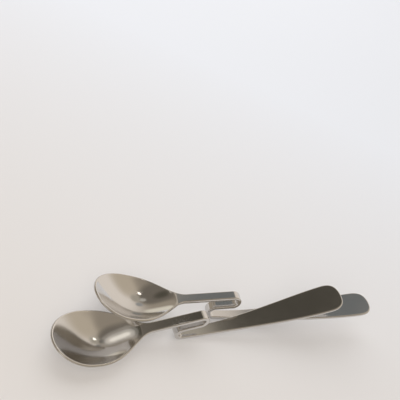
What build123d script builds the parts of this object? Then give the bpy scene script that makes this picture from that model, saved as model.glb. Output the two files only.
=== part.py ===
"""A pair of one-piece steel serving spoons, one lying across the other.

Each spoon is pressed from one blank: a dished bowl, a flat top strip, an S-fold that hooks over
the rim of a jar or a dish, and an arched handle that widens to a rounded paddle.

A spoon is drawn along +X with its tip at the negative end and its inside facing +Z. Its datum is
the middle of the strip's upper face, where the neck ends. The pair then stands on Z = 0.
"""

import math
import os

from build123d import *

# Bowl
BOWL_LENGTH = 57.0
BOWL_WIDTH = 37.2
BOWL_DEPTH = 7.6
BOWL_SHEET = 1.6
TIP_RISE = 14.8
RIM_SAG = 3.9
RIM_RADIUS = 0.55
lip_lean_share = 0.68
widest_share = 0.34
crease_share = 0.88
belly_power_share = 2.6
waist_power_share = 2.2
tip_wall_share = 4.2
mid_wall_share = 1.565
heel_wall_share = -4.265

# Strip and S-fold
STRIP_WIDTH = 6.3
STRIP_SHEET = 2.5
STRIP_LENGTH = 30.0
EDGE_BREAK = 0.45
UPPER_FOLD_RADIUS = 5.0
LOWER_FOLD_RADIUS = 5.7
MIDDLE_LENGTH = 10.8
EXIT_TILT = 9.7

# Handle
HANDLE_LENGTH = 109.6
HANDLE_LEAD = 2.0
HANDLE_END_TILT = 5.2
PADDLE_WIDTH = 19.4
PADDLE_CAP = 9.9
PADDLE_SHEET = 1.8
arch_pull_share = 0.33
start_pull_share = 0.30
paddle_pull_share = 0.68
cap_round_share = 0.70

# How the pair lies, in degrees and in lengths from datum to datum: the handle's lift at its end,
# the turn about the vertical, the roll about the length, and the upper spoon's shift
LOWER_LIFT_ANGLE = 14.9
UPPER_LIFT_ANGLE = 10.84
UPPER_TURN = -8.06
UPPER_ROLL = -7.39
UPPER_ALONG = 27.3
UPPER_ACROSS = 16.74
UPPER_RISE = 1.71

# Reach of the cutting prisms past the metal, and the points that carry a computed curve
OVERRUN = 2.0
surface_columns = 11
surface_rows = 5
outline_points = 14
neck_points = 4
steep_share = 0.7

# The rounded lip leans out past the bowl's inside, which is smaller by that on every side
LIP = BOWL_SHEET * lip_lean_share
INSIDE_LENGTH = BOWL_LENGTH - LIP
INSIDE_HALF_WIDTH = BOWL_WIDTH / 2 - LIP
CREASE = INSIDE_LENGTH * (crease_share - 1)


def inside_half_width(share: float) -> float:
    """Half width of the inside at a share of its length from the tip, down to the strip's."""
    if share <= widest_share:
        return INSIDE_HALF_WIDTH * math.sqrt(max(0.0, 1 - (1 - share / widest_share) ** 2))
    along = (share - widest_share) / (1 - widest_share)
    swell = (1 - along**belly_power_share) ** waist_power_share
    return STRIP_WIDTH / 2 + (INSIDE_HALF_WIDTH - STRIP_WIDTH / 2) * swell


def outline_point(share: float) -> tuple:
    """Plan point on the spoon's left side at a share of the inside's length."""
    return (INSIDE_LENGTH * (share - 1), inside_half_width(share))


def wall_factor(reach: float) -> float:
    """Depth at a share of the way from tip to crease, before it runs out at both."""
    return tip_wall_share + mid_wall_share * reach + heel_wall_share * reach**2


def section_bend(share: float) -> float:
    """Bend of the parabolic cross-section: depth over half width squared, finite at the tip."""
    reach = share / crease_share
    factor = BOWL_DEPTH * wall_factor(reach) * (1 - reach)
    if share > widest_share:
        return factor * reach / inside_half_width(share) ** 2
    roundness = (2 - share / widest_share) / widest_share
    return factor / crease_share / (INSIDE_HALF_WIDTH**2 * roundness)


def inside_point(share: float, across: float) -> tuple:
    """Point of the bowl's inside at a share of the length and a distance off the middle."""
    reach = share / crease_share
    rim = TIP_RISE * (1 - reach) - 4 * RIM_SAG * reach * (1 - reach)
    depth = BOWL_DEPTH * wall_factor(reach) * (1 - reach) * reach
    return (INSIDE_LENGTH * (share - 1), across, rim - depth + section_bend(share) * across**2)


def bowl_inside() -> Face:
    """Doubly curved inside of the bowl, running a little past its outline on every side."""
    margin = OVERRUN / INSIDE_LENGTH
    first, last = -margin, crease_share + 2 * margin
    reach = INSIDE_HALF_WIDTH + OVERRUN
    steps = [column / (surface_columns - 1) for column in range(surface_columns)]
    rows = []
    for row in range(surface_rows):
        across = reach * (2 * row / (surface_rows - 1) - 1)
        rows.append([inside_point(first + (last - first) * step, across) for step in steps])
    return Face.make_surface_from_array_of_points(rows)


def rim_outline() -> Face:
    """Plan of the bowl, from the round tip to a little past the crease."""
    turns = [math.pi / 2 * step / outline_points for step in range(outline_points + 1)]
    shares = [widest_share * (1 - math.cos(turn)) for turn in turns]
    rest = crease_share - widest_share + OVERRUN / INSIDE_LENGTH
    shares += [widest_share + rest * step / outline_points for step in range(1, outline_points + 1)]
    side = [outline_point(share) for share in shares]
    other_side = [(along, -across) for along, across in reversed(side[1:])]
    rim = Spline(*other_side, *side)
    return make_face([rim, Line(rim @ 1, rim @ 0)])


def rim_edges(shell: Part) -> ShapeList:
    """Edges of the shell's two lips, without the ones through its wall and past the crease."""
    return shell.edges().filter_by(
        lambda edge: edge.center().X < CREASE + OVERRUN / 2 and abs((edge % 0.5).Z) < steep_share
    )


def long_edges(solid: Part) -> ShapeList:
    """Edges that run along both sides of a band, without the short ones through its thickness."""
    return solid.edges().filter_by(
        lambda edge: abs(edge.center().Y) > STRIP_WIDTH / 4
        and (edge.geom_type != GeomType.LINE or abs((edge % 0.5).Z) < steep_share)
    )


def side_prism(edges: list) -> Part:
    """Solid of a closed side view, wider than any part of the spoon."""
    return extrude(Plane.XZ * make_face(edges), amount=BOWL_WIDTH, both=True)


def plan_prism(half: list) -> Part:
    """Solid of a plan view, given by the edges of its left half from start to end."""
    other = [mirror(edge, about=Plane.XZ) for edge in half]
    closing = [Line(half[0] @ 0, other[0] @ 0)]
    if (half[-1] @ 1).Y > 0:
        closing.append(Line(half[-1] @ 1, other[-1] @ 1))
    return extrude(make_face(half + other + closing), amount=BOWL_LENGTH, both=True)


def bowl() -> Part:
    """Dished shell of one wall, with both lips of its rim softened, cut square at the crease."""
    inside = bowl_inside() & extrude(rim_outline(), amount=BOWL_LENGTH, both=True)
    shell = thicken(inside, amount=BOWL_SHEET, normal_override=(0, 0, -1))
    crease_plane = Plane(origin=(CREASE, 0, 0), z_dir=(1, 0, 0))
    return split(fillet(rim_edges(shell), RIM_RADIUS), bisect_by=crease_plane, keep=Keep.BOTTOM)


def band_section(along: float, width: float, sheet: float) -> Face:
    """Cross-section of the band with broken corners, its upper face at the datum height."""
    plane = Plane(origin=(along, 0, -sheet / 2), x_dir=(0, 1, 0), z_dir=(1, 0, 0))
    square = Rectangle(width, sheet)
    return plane * chamfer(square.vertices(), EDGE_BREAK)


def neck(bowl_end: Face) -> Part:
    """Flat neck, lofted from the bowl's cut end to the full section of the strip."""
    sections = [bowl_end]
    for step in range(1, neck_points + 1):
        share = crease_share + (1 - crease_share) * step / neck_points
        along, half_width = outline_point(share)
        sheet = BOWL_SHEET + (STRIP_SHEET - BOWL_SHEET) * step / neck_points
        sections.append(band_section(along, 2 * half_width, sheet))
    return loft(sections)


def bend(centre: Vector, radius: float, sweep: float) -> Edge:
    """Side view of one face of a bend, which starts at the top of its circle."""
    return CenterArc(centre, radius, 90, sweep)


UPPER_CENTRE = Vector(STRIP_LENGTH, -UPPER_FOLD_RADIUS)
LOWER_CENTRE = UPPER_CENTRE - Vector(MIDDLE_LENGTH, UPPER_FOLD_RADIUS + LOWER_FOLD_RADIUS - STRIP_SHEET)
EXIT_TOP = bend(LOWER_CENTRE, LOWER_FOLD_RADIUS - STRIP_SHEET, 180 - EXIT_TILT) @ 1
EXIT_UNDER = bend(LOWER_CENTRE, LOWER_FOLD_RADIUS, 180 - EXIT_TILT) @ 1


def strip() -> Part:
    """Flat top strip and S-fold: one band of metal of one width and thickness."""
    outer_bend = bend(UPPER_CENTRE, UPPER_FOLD_RADIUS, -180)
    inner_bend = bend(UPPER_CENTRE, UPPER_FOLD_RADIUS - STRIP_SHEET, -180)
    tight_bend = bend(LOWER_CENTRE, LOWER_FOLD_RADIUS - STRIP_SHEET, 180 - EXIT_TILT)
    wide_bend = bend(LOWER_CENTRE, LOWER_FOLD_RADIUS, 180 - EXIT_TILT)
    side = [
        Line((0, 0), outer_bend @ 0),
        outer_bend,
        Line(outer_bend @ 1, tight_bend @ 0),
        tight_bend,
        Line(tight_bend @ 1, wide_bend @ 1),
        wide_bend,
        Line(wide_bend @ 0, inner_bend @ 1),
        inner_bend,
        Line(inner_bend @ 0, (0, -STRIP_SHEET)),
        Line((0, -STRIP_SHEET), (0, 0)),
    ]
    band = extrude(Plane.XZ * make_face(side), amount=STRIP_WIDTH / 2, both=True)
    return chamfer(long_edges(band), EDGE_BREAK)


def handle() -> Part:
    """Arched handle: a thinning band in side view, a widening one with a round end in plan."""
    end_top = EXIT_TOP + Vector(HANDLE_LENGTH, 0)
    leave = Vector(HANDLE_LENGTH * arch_pull_share, 0).rotate(Axis.Z, -EXIT_TILT)
    arrive = Vector(HANDLE_LENGTH * arch_pull_share, 0).rotate(Axis.Z, HANDLE_END_TILT)
    down = Vector(0, -PADDLE_SHEET).rotate(Axis.Z, HANDLE_END_TILT)
    past = Vector(OVERRUN, 0).rotate(Axis.Z, HANDLE_END_TILT)
    end_under = end_top + down
    top = Bezier(EXIT_TOP, EXIT_TOP + leave, end_top - arrive, end_top)
    under = Bezier(EXIT_UNDER, EXIT_UNDER + leave, end_under - arrive, end_under)
    side = [
        top,
        Line(end_top, end_top + past),
        Line(end_top + past, end_under + past),
        Line(end_under + past, end_under),
        under,
        Line(EXIT_UNDER, EXIT_TOP),
    ]
    start = Vector(EXIT_TOP.X + HANDLE_LEAD, STRIP_WIDTH / 2)
    shoulder = Vector(EXIT_TOP.X + HANDLE_LENGTH - PADDLE_CAP, PADDLE_WIDTH / 2)
    tip = Vector(EXIT_TOP.X + HANDLE_LENGTH, 0)
    flare = Bezier(
        start,
        start + Vector(HANDLE_LENGTH * start_pull_share, 0),
        Vector(start.X + HANDLE_LENGTH * paddle_pull_share, shoulder.Y),
        shoulder,
    )
    cap = Bezier(
        shoulder,
        shoulder + Vector(PADDLE_CAP * cap_round_share, 0),
        tip + Vector(0, shoulder.Y * cap_round_share),
        tip,
    )
    lead = Line(start - Vector(HANDLE_LEAD + OVERRUN, 0), start)
    blade = side_prism(side) & plan_prism([lead, flare, cap])
    return chamfer(long_edges(blade), EDGE_BREAK)


def spoon() -> Part:
    """One spoon in its own frame."""
    dish = bowl()
    bowl_end = dish.faces().sort_by(Axis.X)[-1]
    return dish + neck(bowl_end) + strip() + handle()


def pair() -> dict:
    """Both spoons as they lie, by name: the lower one on the ground, the upper one across it."""
    one = spoon()
    lower = Rotation(0, -LOWER_LIFT_ANGLE, 0) * one
    turn = Rotation(0, 0, UPPER_TURN) * Rotation(0, -UPPER_LIFT_ANGLE, 0) * Rotation(UPPER_ROLL, 0, 0)
    upper = Pos(UPPER_ALONG, UPPER_ACROSS, UPPER_RISE) * turn * one
    both = Compound([lower, upper]).bounding_box()
    centre = Pos(-both.center().X, -both.center().Y, -both.min.Z)
    return {"spoon_lower": centre * lower, "spoon_upper": centre * upper}


def main() -> None:
    """Write one STEP file for each spoon."""
    os.makedirs("parts", exist_ok=True)
    for name, solid in pair().items():
        export_step(solid, f"parts/{name}.step")


if __name__ == "__main__":
    main()
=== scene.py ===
"""The looks of a pair of one-piece steel serving spoons, one lying across the other.

Each spoon is a single mesh: one half of its skin is a grid that is laid over the spoon's shape row by
row and then mirrored, so the polished metal has no facet that a reflection would show.
"""

import logging
import math
from dataclasses import dataclass, field
from enum import Enum

import bpy
from mathutils import Matrix, Vector


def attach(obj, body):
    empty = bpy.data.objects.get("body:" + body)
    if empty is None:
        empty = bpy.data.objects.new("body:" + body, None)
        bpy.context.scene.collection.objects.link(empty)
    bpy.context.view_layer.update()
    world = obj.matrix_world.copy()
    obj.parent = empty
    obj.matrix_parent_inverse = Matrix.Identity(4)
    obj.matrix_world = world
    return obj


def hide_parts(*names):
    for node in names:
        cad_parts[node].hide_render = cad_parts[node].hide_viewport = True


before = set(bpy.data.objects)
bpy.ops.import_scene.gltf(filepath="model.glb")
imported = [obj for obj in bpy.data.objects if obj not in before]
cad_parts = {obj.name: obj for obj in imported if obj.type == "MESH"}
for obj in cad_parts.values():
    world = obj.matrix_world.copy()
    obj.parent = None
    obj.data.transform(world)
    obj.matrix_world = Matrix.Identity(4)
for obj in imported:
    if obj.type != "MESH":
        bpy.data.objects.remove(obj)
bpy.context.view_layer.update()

LOG = logging.getLogger("spoons")
MM = 0.001
MERGE_GAP = 1e-5

# What the small lamps over the bowls look at, in metres, and the colour of their light
LOWER_BOWL = (-0.068, -0.008, 0.007)
UPPER_BOWL = (-0.047, 0.011, 0.006)
BOWL_LIGHT = (1.0, 0.95, 0.87)


class Side(Enum):
    """Which face of the sheet a row of the skin starts on."""

    TOP = 1
    UNDER = -1


def lerp(start: float, end: float, share: float) -> float:
    """Value at a share of the way from start to end."""
    return start + (end - start) * share


def bezier(points: list[Vector], share: float) -> tuple[Vector, Vector]:
    """Point and unit direction on a cubic curve.

    Args:
        points: The curve's four control points.
        share: Place on the curve, from 0 to 1.

    Returns:
        The point and the curve's unit direction there.
    """
    first, second, third, last = points
    rest = 1 - share
    place = first * rest**3 + second * 3 * rest**2 * share + third * 3 * rest * share**2 + last * share**3
    travel = (second - first) * rest**2 + (third - second) * 2 * rest * share + (last - third) * share**2
    return place, travel.normalized()


@dataclass(frozen=True)
class Station:
    """One place along the spoon's outline, from which a row of the skin is laid.

    Attributes:
        along: Place of the outline point, as a length along the unfolded spoon.
        across: The outline point's distance off the middle.
        outward: Unit direction out of the outline, in the unfolded plan.
        root: Place on the middle line where the row starts.
        sheet: Thickness of the metal there.
    """

    along: float
    across: float
    outward: Vector
    root: float
    sheet: float


@dataclass(frozen=True)
class BowlShape:
    """The dished bowl, in millimetres and shares of its own lengths.

    Attributes:
        length: Length from the tip to the neck's end, over the lip.
        width: Width over the lips, where the bowl is widest.
        depth: Greatest depth under the rim.
        sheet: Thickness of the metal.
        tip_rise: Height of the tip over the strip's upper face.
        rim_sag: How far the rim dips under a straight line from the tip to the crease.
        lip_lean_share: How far the rounded lip leans out past the inside, in thicknesses.
        widest_share: Where the bowl is widest, from the tip.
        crease_share: Where the bowl ends and the flat neck starts, from the tip.
        belly_power: Fullness of the outline behind the widest place.
        waist_power: Slenderness of the outline towards the neck.
        wall_shares: Course of the wall from tip to crease: constant, linear and square factors.
        neck_half_width: Half the strip's width.
    """

    length: float = 57.0
    width: float = 37.2
    depth: float = 7.6
    sheet: float = 1.6
    tip_rise: float = 14.8
    rim_sag: float = 3.9
    lip_lean_share: float = 0.68
    widest_share: float = 0.34
    crease_share: float = 0.88
    belly_power: float = 2.6
    waist_power: float = 2.2
    wall_shares: tuple[float, float, float] = (4.2, 1.565, -4.265)
    neck_half_width: float = 3.15

    @property
    def inside_length(self) -> float:
        """Length of the bowl's inside, with the neck."""
        return self.length - self.sheet * self.lip_lean_share

    @property
    def inside_half_width(self) -> float:
        """Half width of the bowl's inside where it is widest."""
        return self.width / 2 - self.sheet * self.lip_lean_share

    @property
    def crease(self) -> float:
        """Place along the spoon where the bowl ends and the flat neck starts."""
        return self.inside_length * (self.crease_share - 1)

    def half_width(self, share: float) -> float:
        """Half width of the bowl's inside.

        Args:
            share: Share of the inside's length, from the tip.

        Returns:
            The half width there, which runs down to the strip's at the neck.
        """
        if share <= self.widest_share:
            return self.inside_half_width * math.sqrt(max(0.0, 1 - (1 - share / self.widest_share) ** 2))
        reach = (share - self.widest_share) / (1 - self.widest_share)
        swell = (1 - min(reach, 1.0) ** self.belly_power) ** self.waist_power
        return lerp(self.neck_half_width, self.inside_half_width, swell)

    def height(self, along: float, across: float) -> float:
        """Height of the bowl's inside over the strip's upper face.

        Args:
            along: Length along the spoon, negative on the bowl and neck.
            across: Distance off the middle.

        Returns:
            The height, which is zero from the crease on.
        """
        share = 1 + along / self.inside_length
        reach = share / self.crease_share
        if reach >= 1:
            return 0.0
        rim = self.tip_rise * (1 - reach) - 4 * self.rim_sag * reach * (1 - reach)
        first, second, third = self.wall_shares
        factor = self.depth * (first + second * reach + third * reach**2) * (1 - reach)
        if share > self.widest_share:
            bend = factor * reach / self.half_width(share) ** 2
        else:
            roundness = (2 - share / self.widest_share) / self.widest_share
            bend = factor / self.crease_share / (self.inside_half_width**2 * roundness)
        return rim - factor * reach + bend * across**2


@dataclass(frozen=True)
class FoldShape:
    """The flat strip and its S-fold: one band of one width and thickness, in millimetres.

    Attributes:
        width: Width of the band.
        sheet: Thickness of the metal.
        length: Length of the flat strip before the upper fold.
        upper_radius: Radius of the upper fold's outer face.
        lower_radius: Radius of the lower fold's outer face.
        middle_length: Length of the flat between the folds.
        exit_tilt: Degrees by which the handle starts downward.
    """

    width: float = 6.3
    sheet: float = 2.5
    length: float = 30.0
    upper_radius: float = 5.0
    lower_radius: float = 5.7
    middle_length: float = 10.8
    exit_tilt: float = 9.7

    @property
    def upper_centre(self) -> Vector:
        """Centre of the upper fold in the side view."""
        return Vector((self.length, -self.upper_radius))

    @property
    def lower_centre(self) -> Vector:
        """Centre of the lower fold in the side view."""
        drop = self.upper_radius + self.lower_radius - self.sheet
        return self.upper_centre - Vector((self.middle_length, drop))

    @property
    def inner_radius(self) -> float:
        """Radius of the lower fold's face that carries on as the handle's upper side."""
        return self.lower_radius - self.sheet


@dataclass(frozen=True)
class HandleShape:
    """The arched handle and its rounded paddle, in millimetres and shares of its own lengths.

    Attributes:
        length: Length in plan, from the lower fold to the paddle's end.
        lead: Length of the straight start, at the band's width.
        end_tilt: Degrees by which the paddle's end points upward.
        paddle_width: Width at the shoulders of the rounded end.
        paddle_cap: Length of the rounded end.
        paddle_sheet: Thickness of the metal at the end.
        arch_pull_share: Pull of the arch at both its ends.
        start_pull_share: Pull of the flare where it leaves the lead.
        paddle_pull_share: Place of the control point that leads the flare into the shoulder.
        cap_round_share: Fullness of the rounded end.
    """

    length: float = 109.6
    lead: float = 2.0
    end_tilt: float = 5.2
    paddle_width: float = 19.4
    paddle_cap: float = 9.9
    paddle_sheet: float = 1.8
    arch_pull_share: float = 0.33
    start_pull_share: float = 0.30
    paddle_pull_share: float = 0.68
    cap_round_share: float = 0.70


@dataclass(frozen=True)
class Placing:
    """How a spoon lies.

    Attributes:
        lift: Degrees by which the handle's end is lifted.
        turn: Degrees about the vertical.
        roll: Degrees about the spoon's length.
        shift: Millimetres from the lower spoon's datum to this one's.
    """

    lift: float
    turn: float = 0.0
    roll: float = 0.0
    shift: tuple[float, float, float] = (0.0, 0.0, 0.0)

    def matrix(self) -> Matrix:
        """Work out where the spoon lies.

        Returns:
            Matrix from the spoon's own frame to that of the pair, before it is centred.
        """
        turned = Matrix.Rotation(math.radians(self.turn), 4, "Z")
        lifted = Matrix.Rotation(math.radians(-self.lift), 4, "Y")
        rolled = Matrix.Rotation(math.radians(self.roll), 4, "X")
        return Matrix.Translation(Vector(self.shift)) @ turned @ lifted @ rolled


@dataclass
class SpoonShape:
    """Skin of one spoon, laid over its shape in rows from the bowl's tip to the paddle's end.

    Attributes:
        bowl: Shape of the bowl and the neck.
        fold: Shape of the strip and the S-fold.
        handle: Shape of the handle.
        bowl_edge: Rounding of the bowl's lips, in millimetres.
        band_edge: Rounding of the other edges, in millimetres.
        fan_rows: Rows round the bowl's tip.
        bowl_rows: Rows from the widest place to the crease.
        neck_rows: Rows of the neck.
        strip_rows: Rows of the strip.
        bend_rows: Rows round each fold.
        middle_rows: Rows of the flat between the folds.
        lead_rows: Rows of the handle's straight start.
        handle_rows: Rows along the handle's flare.
        cap_rows: Rows round the paddle's end.
        face_columns: Columns from the middle to the edge's rounding, on each face.
        edge_columns: Columns round the edge, on each face.
        slit_share: Share of a rounded end over which its rows start, so they don't meet in a point.
        slope_step_share: Step for the outline's slope, as a share of the inside's length.
        normal_step: Step for the bowl's slopes, in millimetres.
        curve_halvings: Halvings of the search for a place on the handle's curve.
    """

    bowl: BowlShape = field(default_factory=BowlShape)
    fold: FoldShape = field(default_factory=FoldShape)
    handle: HandleShape = field(default_factory=HandleShape)
    bowl_edge: float = 0.55
    band_edge: float = 0.70
    fan_rows: int = 40
    bowl_rows: int = 60
    neck_rows: int = 16
    strip_rows: int = 24
    bend_rows: int = 44
    middle_rows: int = 10
    lead_rows: int = 2
    handle_rows: int = 90
    cap_rows: int = 36
    face_columns: int = 22
    edge_columns: int = 7
    slit_share: float = 0.55
    slope_step_share: float = 1e-4
    normal_step: float = 0.01
    curve_halvings: int = 40

    def spine_lengths(self) -> tuple[float, float, float, float]:
        """Unfolded lengths of the band, along its upper face.

        Returns:
            The lengths at which the strip, the upper bend, the middle and the lower bend end.
        """
        strip_end = self.fold.length
        upper_end = strip_end + math.pi * self.fold.upper_radius
        middle_end = upper_end + self.fold.middle_length
        sweep = math.radians(180 - self.fold.exit_tilt)
        return strip_end, upper_end, middle_end, middle_end + sweep * self.fold.inner_radius

    def handle_curve(self) -> list[Vector]:
        """Curve of the handle's upper side in the side view.

        Returns:
            The curve's four control points.
        """
        fold, handle = self.fold, self.handle
        angle = math.radians(270 - fold.exit_tilt)
        start = fold.lower_centre + Vector((math.cos(angle), math.sin(angle))) * fold.inner_radius
        end = start + Vector((handle.length, 0))
        pull = handle.length * handle.arch_pull_share
        down = math.radians(fold.exit_tilt)
        leave = Vector((math.cos(down), -math.sin(down))) * pull
        rise = math.radians(handle.end_tilt)
        arrive = Vector((math.cos(rise), math.sin(rise))) * pull
        return [start, start + leave, end - arrive, end]

    def profile(self, along: float) -> tuple[Vector, Vector]:
        """Point of the upper face and its unit normal in the side view, past the crease.

        Args:
            along: Length along the unfolded upper face; past the folds it is the plan length.

        Returns:
            The point and the normal, both in the side view.
        """
        strip_end, upper_end, middle_end, lower_end = self.spine_lengths()
        fold = self.fold
        if along <= strip_end:
            return Vector((along, 0.0)), Vector((0.0, 1.0))
        if along <= upper_end:
            angle = math.pi / 2 - (along - strip_end) / fold.upper_radius
            ray = Vector((math.cos(angle), math.sin(angle)))
            return fold.upper_centre + ray * fold.upper_radius, ray
        if along <= middle_end:
            place = fold.upper_centre + Vector((upper_end - along, -fold.upper_radius))
            return place, Vector((0.0, -1.0))
        if along <= lower_end:
            angle = math.pi / 2 + (along - middle_end) / fold.inner_radius
            ray = Vector((math.cos(angle), math.sin(angle)))
            return fold.lower_centre + ray * fold.inner_radius, -ray
        points = self.handle_curve()
        target = points[0].x + along - lower_end
        low, high = 0.0, 1.0
        for _ in range(self.curve_halvings):
            middle = (low + high) / 2
            if bezier(points, middle)[0].x < target:
                low = middle
            else:
                high = middle
        place, travel = bezier(points, (low + high) / 2)
        return place, Vector((-travel.y, travel.x))

    def stations(self) -> list[Station]:
        """Every station, from the bowl's tip to the paddle's end."""
        return [*self.bowl_stations(), *self.band_stations(), *self.handle_stations()]

    def bowl_stations(self) -> list[Station]:
        """Lay out the bowl and the neck.

        Returns:
            Their stations, from the bowl's tip on.
        """
        bowl = self.bowl
        front = bowl.inside_length * bowl.widest_share
        centre = front - bowl.inside_length
        half = bowl.inside_half_width
        rows = []
        for row in range(self.fan_rows):
            turn = math.pi / 2 * row / self.fan_rows
            outward = Vector((-math.cos(turn) / front, math.sin(turn) / half)).normalized()
            root = centre - front * self.slit_share * math.cos(turn)
            along = centre - front * math.cos(turn)
            rows.append(Station(along, half * math.sin(turn), outward, root, bowl.sheet))
        step = self.slope_step_share
        spans = (
            (bowl.widest_share, bowl.crease_share, self.bowl_rows),
            (bowl.crease_share, 1.0, self.neck_rows),
        )
        for start, end, count in spans:
            for row in range(count):
                share = lerp(start, end, row / count)
                slope = (bowl.half_width(share + step) - bowl.half_width(share)) / (step * bowl.inside_length)
                along = bowl.inside_length * (share - 1)
                thick = lerp(bowl.sheet, self.fold.sheet, max(0.0, 1 - along / bowl.crease))
                outward = Vector((-slope, 1.0)).normalized()
                rows.append(Station(along, bowl.half_width(share), outward, along, thick))
        return rows

    def band_stations(self) -> list[Station]:
        """Lay out the strip and the S-fold.

        Returns:
            Their stations, from the neck's end on.
        """
        ends = (0.0, *self.spine_lengths())
        counts = (self.strip_rows, self.bend_rows, self.middle_rows, self.bend_rows)
        rows = []
        for start, end, count in zip(ends, ends[1:], counts):
            for row in range(count):
                along = lerp(start, end, row / count)
                rows.append(Station(along, self.fold.width / 2, Vector((0.0, 1.0)), along, self.fold.sheet))
        return rows

    def handle_stations(self) -> list[Station]:
        """Lay out the handle and its rounded end.

        Returns:
            Their stations, from the lower fold's end on.
        """
        handle = self.handle
        begin = self.spine_lengths()[-1]
        half = handle.paddle_width / 2
        start = Vector((begin + handle.lead, self.fold.width / 2))
        shoulder = Vector((begin + handle.length - handle.paddle_cap, half))
        tip = Vector((begin + handle.length, 0.0))
        flare = [
            start,
            start + Vector((handle.length * handle.start_pull_share, 0)),
            Vector((begin + handle.lead + handle.length * handle.paddle_pull_share, half)),
            shoulder,
        ]
        cap = [
            shoulder,
            shoulder + Vector((handle.paddle_cap * handle.cap_round_share, 0)),
            tip + Vector((0, half * handle.cap_round_share)),
            tip,
        ]
        rows = []
        for row in range(self.lead_rows):
            along = begin + handle.lead * row / self.lead_rows
            rows.append(Station(along, start.y, Vector((0.0, 1.0)), along, self.fold.sheet))
        for curve, count, last in ((flare, self.handle_rows, 0), (cap, self.cap_rows, 1)):
            for row in range(count + last):
                place, travel = bezier(curve, row / count)
                over = max(0.0, place.x - shoulder.x)
                root = place.x - over * (1 - self.slit_share)
                thick = lerp(self.fold.sheet, handle.paddle_sheet, (place.x - begin) / handle.length)
                rows.append(Station(place.x, place.y, Vector((-travel.y, travel.x)), root, thick))
        return rows

    def surface(self, along: float, across: float) -> tuple[Vector, Vector]:
        """Point of the upper face and its unit normal.

        Args:
            along: Length along the unfolded spoon, negative on the bowl and neck.
            across: Distance off the middle.

        Returns:
            The point and the normal in the spoon's own frame.
        """
        if along > self.bowl.crease:
            place, normal = self.profile(along)
            return Vector((place.x, across, place.y)), Vector((normal.x, 0.0, normal.y))
        step = self.normal_step
        height = self.bowl.height(along, across)
        slope_along = (height - self.bowl.height(along - step, across)) / step
        outer, inner = self.bowl.height(along, across + step), self.bowl.height(along, across - step)
        slope_across = (outer - inner) / (2 * step)
        return Vector((along, across, height)), Vector((-slope_along, -slope_across, 1.0)).normalized()

    def row_points(self, station: Station) -> list[Vector]:
        """Lay one row over the spoon's shape.

        Args:
            station: The place from which the row is laid.

        Returns:
            Its points, from the middle of the upper face round the edge to that of the under face.
        """
        blend = min(1.0, max(0.0, (station.sheet - self.bowl.sheet) / (self.fold.sheet - self.bowl.sheet)))
        edge = lerp(self.bowl_edge, self.band_edge, blend) if station.along < 0 else self.band_edge
        rim = Vector((station.along, station.across))
        inner = rim - station.outward * edge
        root = Vector((station.root, 0.0))
        inner.y = max(inner.y, 0.0)
        places = [(root.lerp(inner, column / self.face_columns), 0.0) for column in range(self.face_columns)]
        for column in range(self.edge_columns + 1):
            turn = math.pi / 2 * column / self.edge_columns
            place = inner.lerp(rim, math.sin(turn))
            places.append((place, edge * (1 - math.cos(turn))))
        points = []
        for side in (Side.TOP, Side.UNDER):
            ordered = places if side is Side.TOP else reversed(places)
            for place, drop in ordered:
                spot, normal = self.surface(place.x, place.y)
                depth = drop if side is Side.TOP else station.sheet - drop
                points.append(spot - normal * depth)
        return points


@dataclass
class Spoon:
    """One finished spoon.

    Attributes:
        name: Name of the finished piece.
        node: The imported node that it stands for.
        body: The body that it rides on.
        placing: How it lies.
        shape: Its shape.
    """

    name: str
    node: str
    body: str
    placing: Placing
    shape: SpoonShape = field(default_factory=SpoonShape)

    def build(self, centring: Vector) -> bpy.types.Object:
        """Make the spoon's mesh where it lies.

        Args:
            centring: Shift from the lower spoon's datum to the frame's origin, in millimetres.

        Returns:
            The new object.
        """
        rows = [self.shape.row_points(station) for station in self.shape.stations()]
        columns = len(rows[0])
        bpy.ops.object.select_all(action="DESELECT")
        bpy.ops.mesh.primitive_grid_add(
            x_subdivisions=columns - 1, y_subdivisions=len(rows) - 1, size=1, location=(0, 0, 0)
        )
        piece = bpy.context.active_object
        piece.name = self.name
        piece.data.name = self.name
        for vertex in piece.data.vertices:
            row, column = divmod(vertex.index, columns)
            vertex.co = rows[row][column]
        mirror = piece.modifiers.new("other half", "MIRROR")
        mirror.use_axis = (False, True, False)
        mirror.merge_threshold = MERGE_GAP
        bpy.ops.object.modifier_apply(modifier=mirror.name)
        bpy.ops.object.mode_set(mode="EDIT")
        bpy.ops.mesh.select_all(action="SELECT")
        bpy.ops.mesh.remove_doubles(threshold=MERGE_GAP)
        bpy.ops.mesh.normals_make_consistent(inside=False)
        bpy.ops.object.mode_set(mode="OBJECT")
        bpy.ops.object.shade_smooth()
        placed = Matrix.Translation(centring) @ self.placing.matrix()
        piece.data.transform(Matrix.Scale(MM, 4) @ placed)
        piece.data.update()
        return piece

    def dress(self, piece: bpy.types.Object, finish: "PolishedSteel") -> None:
        """Give the spoon its finish and its place in the table of pieces.

        Args:
            piece: The spoon's object.
            finish: What it is made of.
        """
        piece.data.materials.clear()
        piece.data.materials.append(finish.material())
        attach(piece, self.body)
        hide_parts(self.node)


@dataclass(frozen=True)
class Pair:
    """The two spoons, as they lie together.

    Attributes:
        centring: Shift from the lower spoon's datum to the frame's origin, in millimetres.
        lower: How the lower spoon lies.
        upper: How the upper spoon lies across it.
    """

    centring: tuple[float, float, float] = (-48.336, -11.254, 13.531)
    lower: Placing = Placing(lift=14.9)
    upper: Placing = Placing(lift=10.84, turn=-8.06, roll=-7.39, shift=(27.3, 16.74, 1.71))

    def spoons(self) -> tuple[Spoon, Spoon]:
        """The two spoons, the lower one first."""
        lower = Spoon("lower_spoon", "spoon_lower", "lower", self.lower)
        return lower, Spoon("upper_spoon", "spoon_upper", "upper", self.upper)


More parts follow.
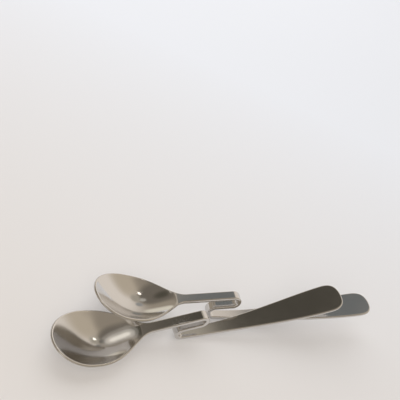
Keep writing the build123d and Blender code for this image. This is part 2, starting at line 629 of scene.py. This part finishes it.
@dataclass(frozen=True)
class PolishedSteel:
    """Mirror-polished stainless steel with faint wiping marks and a slight wave in the sheet.

    Attributes:
        name: Name of the material.
        colour: Linear colour of the reflections.
        roughness: Roughness where the steel is cleanest.
        smear: Roughness that the wiping marks add.
        smear_scale: Scale of the wiping marks.
        smear_detail: Layers of finer marks in them.
        smear_grain: Strength of those finer marks.
        smear_span: Values of the pattern at which the marks start and are full.
        wave_scale: Scale of the sheet's wave.
        wave_detail: Layers of finer waves in it.
        wave_strength: Share of the wave that shows.
        wave_height: Height of the wave, in metres.
    """

    name: str = "polished steel"
    colour: tuple[float, float, float] = (0.66, 0.645, 0.625)
    roughness: float = 0.10
    smear: float = 0.05
    smear_scale: float = 60.0
    smear_detail: float = 6.0
    smear_grain: float = 0.6
    smear_span: tuple[float, float] = (0.35, 0.75)
    wave_scale: float = 55.0
    wave_detail: float = 1.0
    wave_strength: float = 1.0
    wave_height: float = 0.00003

    def material(self) -> bpy.types.Material:
        """Make the steel, once for both spoons.

        Returns:
            The finish's material.
        """
        made = bpy.data.materials.get(self.name)
        if made is not None:
            return made
        made = bpy.data.materials.new(self.name)
        made.use_nodes = True
        tree = made.node_tree
        shader = tree.nodes["Principled BSDF"]
        shader.inputs["Base Color"].default_value = (*self.colour, 1.0)
        shader.inputs["Metallic"].default_value = 1.0
        coordinates = tree.nodes.new("ShaderNodeTexCoord")
        smears = tree.nodes.new("ShaderNodeTexNoise")
        smears.inputs["Scale"].default_value = self.smear_scale
        smears.inputs["Detail"].default_value = self.smear_detail
        smears.inputs["Roughness"].default_value = self.smear_grain
        spread = tree.nodes.new("ShaderNodeMapRange")
        spread.inputs["From Min"].default_value, spread.inputs["From Max"].default_value = self.smear_span
        spread.inputs["To Min"].default_value = self.roughness
        spread.inputs["To Max"].default_value = self.roughness + self.smear
        waves = tree.nodes.new("ShaderNodeTexNoise")
        waves.inputs["Scale"].default_value = self.wave_scale
        waves.inputs["Detail"].default_value = self.wave_detail
        bump = tree.nodes.new("ShaderNodeBump")
        bump.inputs["Strength"].default_value = self.wave_strength
        bump.inputs["Distance"].default_value = self.wave_height
        link = tree.links.new
        link(coordinates.outputs["Object"], smears.inputs["Vector"])
        link(coordinates.outputs["Object"], waves.inputs["Vector"])
        link(smears.outputs["Fac"], spread.inputs["Value"])
        link(spread.outputs["Result"], shader.inputs["Roughness"])
        link(waves.outputs["Fac"], bump.inputs["Height"])
        link(bump.outputs["Normal"], shader.inputs["Normal"])
        return made


@dataclass(frozen=True)
class Card:
    """One soft-edged part of the room that the steel reflects.

    Attributes:
        name: What it stands for.
        azimuth: Degrees from +Y towards +X.
        elevation: Degrees over the floor.
        core: Radius in degrees inside which the card has its full colour.
        reach: Radius in degrees at which it has faded out.
        colour: Linear colour.
    """

    name: str
    azimuth: float
    elevation: float
    core: float
    reach: float
    colour: tuple[float, float, float]

    @property
    def direction(self) -> Vector:
        """Unit direction from the pair to the card."""
        turn, lift = math.radians(self.azimuth), math.radians(self.elevation)
        return Vector((math.sin(turn) * math.cos(lift), math.cos(turn) * math.cos(lift), math.sin(lift)))


@dataclass(frozen=True)
class Lamp:
    """One soft oval lamp.

    Attributes:
        name: What the lamp is called.
        place: Where it hangs, in metres.
        size: Width and height of its face, in metres.
        power: Its power, in watts.
        colour: Linear colour of its light.
        target: What it looks at, in metres.
        mirrored: Whether the steel shows the lamp itself.
    """

    name: str
    place: tuple[float, float, float]
    size: tuple[float, float]
    power: float
    colour: tuple[float, float, float]
    target: tuple[float, float, float] = (0.0, 0.0, 0.0)
    mirrored: bool = False

    def hang(self) -> None:
        """Hang the lamp in the scene."""
        data = bpy.data.lights.new(self.name, "AREA")
        data.shape = "ELLIPSE"
        data.size, data.size_y = self.size
        data.energy = self.power
        data.color = self.colour
        lamp = bpy.data.objects.new(self.name, data)
        bpy.context.scene.collection.objects.link(lamp)
        lamp.location = self.place
        lamp.rotation_euler = (Vector(self.target) - Vector(self.place)).to_track_quat("-Z", "Y").to_euler()
        lamp.visible_glossy = self.mirrored
        lamp.visible_camera = False


@dataclass(frozen=True)
class Studio:
    """The pale floor, the soft light and the camera.

    Attributes:
        floor_size: Side of the floor, in metres.
        floor_roughness: Roughness of the floor.
        near_floor_painted_shade: Linear colour of the floor near the camera, darker and warmer there as
            painted shade of the light's falloff.
        far_floor_painted_light: Linear colour of the floor away from it, lighter and bluer there as painted
            light.
        floor_span: Where the first colour starts to change and where the second is full, in metres.
        floor_lift: Share of its own light by which the floor's shadows are lifted.
        floor_strength: Strength of that light.
        room_colour: Linear colour of the room between its cards.
        room_strength: Strength of the room's light.
        cards: The room's light and dark parts.
        lamps: The two large lamps, and the small ones over the bowls.
        camera_place: Where the camera stands, in millimetres.
        view_direction: Direction in which it looks.
        right_direction: Direction that is to the right in the picture.
        lens: Its focal length, in millimetres.
        sensor: Width of its sensor, in millimetres.
    """

    floor_size: float = 6.0
    floor_roughness: float = 0.9
    # Painted light falloff on the floor: painted shade near the camera, painted light away from it
    near_floor_painted_shade: tuple[float, float, float] = (0.72, 0.692, 0.674)
    far_floor_painted_light: tuple[float, float, float] = (0.80, 0.825, 0.88)
    floor_span: tuple[float, float] = (-0.08, 0.30)
    floor_lift: float = 0.35
    floor_strength: float = 1.03
    room_colour: tuple[float, float, float] = (0.41, 0.355, 0.285)
    room_strength: float = 1.0
    cards: tuple[Card, ...] = (
        Card("light wall", 72.0, 18.0, 12.0, 70.0, (0.92, 0.84, 0.76)),
        Card("warm upper wall", 112.0, 52.0, 5.0, 40.0, (0.61, 0.53, 0.42)),
        Card("shaded ceiling", 212.0, 55.0, 8.0, 40.0, (0.36, 0.31, 0.25)),
        Card("shaded doorway", 203.0, 17.0, 8.0, 18.0, (0.48, 0.42, 0.34)),
        Card("lit table", 230.0, 17.0, 7.0, 15.0, (0.90, 0.83, 0.74)),
        Card("dim far wall", 312.0, 61.0, 22.0, 40.0, (0.20, 0.175, 0.145)),
        Card("dark corner", 309.0, 48.0, 7.0, 17.0, (0.10, 0.09, 0.07)),
        Card("sunlit wall", 4.0, 9.0, 4.0, 15.0, (0.90, 0.84, 0.72)),
        Card("shelf", 42.0, 62.0, 5.0, 16.0, (0.46, 0.42, 0.35)),
        Card("blue-grey door", 21.5, 44.5, 4.5, 10.0, (0.186, 0.196, 0.198)),
        Card("dark cupboard", 6.0, 63.5, 3.5, 9.0, (0.082, 0.074, 0.060)),
    )
    lamps: tuple[Lamp, ...] = (
        Lamp("window lamp", (0.15, 0.95, 0.95), (1.6, 1.6), 13.0, (0.93, 0.96, 1.0)),
        Lamp("fill lamp", (-0.5, -0.6, 0.9), (1.4, 1.4), 6.0, (1.0, 0.98, 0.95)),
        Lamp(
            "window haze", (-0.0806, 0.0032, 0.0290), (0.0200, 0.0160), 0.000135,
            BOWL_LIGHT, LOWER_BOWL, True,
        ),
        Lamp(
            "window glow", (-0.0806, 0.0032, 0.0288), (0.0125, 0.0095), 0.000100,
            BOWL_LIGHT, LOWER_BOWL, True,
        ),
        Lamp(
            "window core", (-0.0810, 0.0034, 0.0286), (0.0060, 0.0050), 0.000040,
            BOWL_LIGHT, LOWER_BOWL, True,
        ),
        Lamp("spark", (-0.036, 0.028, 0.126), (0.016, 0.008), 0.0010, BOWL_LIGHT, LOWER_BOWL, True),
        Lamp("low glow", (-0.0276, 0.0627, 0.0616), (0.0182, 0.0182), 0.00015, BOWL_LIGHT, UPPER_BOWL, True),
        Lamp("high glow", (-0.0421, 0.0483, 0.0774), (0.0154, 0.0154), 0.00027, BOWL_LIGHT, UPPER_BOWL, True),
    )
    camera_place: tuple[float, float, float] = (-181.8, -180.5, 296.7)
    view_direction: tuple[float, float, float] = (0.4543, 0.6154, -0.6441)
    right_direction: tuple[float, float, float] = (0.8908, -0.3109, 0.3312)
    lens: float = 54.0
    sensor: float = 36.0

    def floor_material(self) -> bpy.types.Material:
        """Make the matt floor, with its shadows lifted where it is seen or mirrored, and with a painted light
        falloff: darker and warmer near the camera, lighter and bluer away from it.

        Returns:
            The floor's material.
        """
        material = bpy.data.materials.new("pale floor")
        material.use_nodes = True
        tree = material.node_tree
        shader = tree.nodes["Principled BSDF"]
        shader.inputs["Roughness"].default_value = self.floor_roughness
        coordinates = tree.nodes.new("ShaderNodeTexCoord")
        away = tree.nodes.new("ShaderNodeVectorMath")
        away.operation = "DOT_PRODUCT"
        away.inputs[1].default_value = Vector((*self.view_direction[:2], 0.0)).normalized()
        share = tree.nodes.new("ShaderNodeMapRange")
        share.inputs["From Min"].default_value, share.inputs["From Max"].default_value = self.floor_span
        # Painted light falloff: the floor's colour runs from the darker, warmer near colour to the lighter,
        # bluer far colour
        mix = tree.nodes.new("ShaderNodeMix")
        mix.data_type = "RGBA"
        mix.inputs["A"].default_value = (*self.near_floor_painted_shade, 1.0)
        mix.inputs["B"].default_value = (*self.far_floor_painted_light, 1.0)
        glow = tree.nodes.new("ShaderNodeEmission")
        glow.inputs["Strength"].default_value = self.floor_strength
        rays = tree.nodes.new("ShaderNodeLightPath")
        seen = tree.nodes.new("ShaderNodeMath")
        seen.operation = "MAXIMUM"
        lift = tree.nodes.new("ShaderNodeMath")
        lift.operation = "MULTIPLY"
        lift.inputs[1].default_value = self.floor_lift
        blend = tree.nodes.new("ShaderNodeMixShader")
        link = tree.links.new
        link(coordinates.outputs["Object"], away.inputs[0])
        link(away.outputs["Value"], share.inputs["Value"])
        link(share.outputs["Result"], mix.inputs["Factor"])
        link(mix.outputs["Result"], shader.inputs["Base Color"])
        link(mix.outputs["Result"], glow.inputs["Color"])
        link(rays.outputs["Is Camera Ray"], seen.inputs[0])
        link(rays.outputs["Is Glossy Ray"], seen.inputs[1])
        link(seen.outputs["Value"], lift.inputs[0])
        link(lift.outputs["Value"], blend.inputs["Fac"])
        link(shader.outputs["BSDF"], blend.inputs[1])
        link(glow.outputs["Emission"], blend.inputs[2])
        link(blend.outputs["Shader"], tree.nodes["Material Output"].inputs["Surface"])
        return material

    def floor(self) -> None:
        """Make the floor that the pair lies on."""
        bpy.ops.object.select_all(action="DESELECT")
        bpy.ops.mesh.primitive_plane_add(size=self.floor_size, location=(0, 0, 0))
        floor = bpy.context.active_object
        floor.name = "studio_floor"
        floor.data.materials.append(self.floor_material())

    def room(self) -> None:
        """Light the pair from a plain room with a few soft-edged light and dark parts."""
        world = bpy.data.worlds.new("studio")
        bpy.context.scene.world = world
        world.use_nodes = True
        tree = world.node_tree
        background = tree.nodes["Background"]
        background.inputs["Strength"].default_value = self.room_strength
        coordinates = tree.nodes.new("ShaderNodeTexCoord")
        base = tree.nodes.new("ShaderNodeRGB")
        base.outputs[0].default_value = (*self.room_colour, 1.0)
        colour = base.outputs[0]
        for card in self.cards:
            facing = tree.nodes.new("ShaderNodeVectorMath")
            facing.operation = "DOT_PRODUCT"
            facing.inputs[1].default_value = card.direction
            edge = tree.nodes.new("ShaderNodeMapRange")
            edge.interpolation_type = "SMOOTHSTEP"
            edge.inputs["From Min"].default_value = math.cos(math.radians(card.reach))
            edge.inputs["From Max"].default_value = math.cos(math.radians(card.core))
            mix = tree.nodes.new("ShaderNodeMix")
            mix.data_type = "RGBA"
            mix.label = card.name
            mix.inputs["B"].default_value = (*card.colour, 1.0)
            tree.links.new(coordinates.outputs["Generated"], facing.inputs[0])
            tree.links.new(facing.outputs["Value"], edge.inputs["Value"])
            tree.links.new(edge.outputs["Result"], mix.inputs["Factor"])
            tree.links.new(colour, mix.inputs["A"])
            colour = mix.outputs["Result"]
        tree.links.new(colour, background.inputs["Color"])

    def camera(self) -> None:
        """Stand the camera where the photograph was taken from."""
        data = bpy.data.cameras.new("camera")
        data.lens = self.lens
        data.sensor_width = self.sensor
        camera = bpy.data.objects.new("camera", data)
        bpy.context.scene.collection.objects.link(camera)
        right = Vector(self.right_direction).normalized()
        back = -Vector(self.view_direction).normalized()
        upward = back.cross(right).normalized()
        right = upward.cross(back)
        turned = Matrix((right, upward, back)).transposed().to_4x4()
        camera.matrix_world = Matrix.Translation(Vector(self.camera_place) * MM) @ turned
        bpy.context.scene.camera = camera

    def build(self) -> None:
        """Make everything round the pair."""
        self.floor()
        self.room()
        for lamp in self.lamps:
            lamp.hang()
        self.camera()
        bpy.context.scene.view_settings.view_transform = "Standard"


def main() -> None:
    """Build the pair and its studio."""
    logging.basicConfig(level=logging.INFO)
    finish = PolishedSteel()
    pair = Pair()
    for spoon in pair.spoons():
        piece = spoon.build(Vector(pair.centring))
        spoon.dress(piece, finish)
        LOG.info("%s: %d faces", piece.name, len(piece.data.polygons))
    Studio().build()


if __name__ == "__main__":
    main()
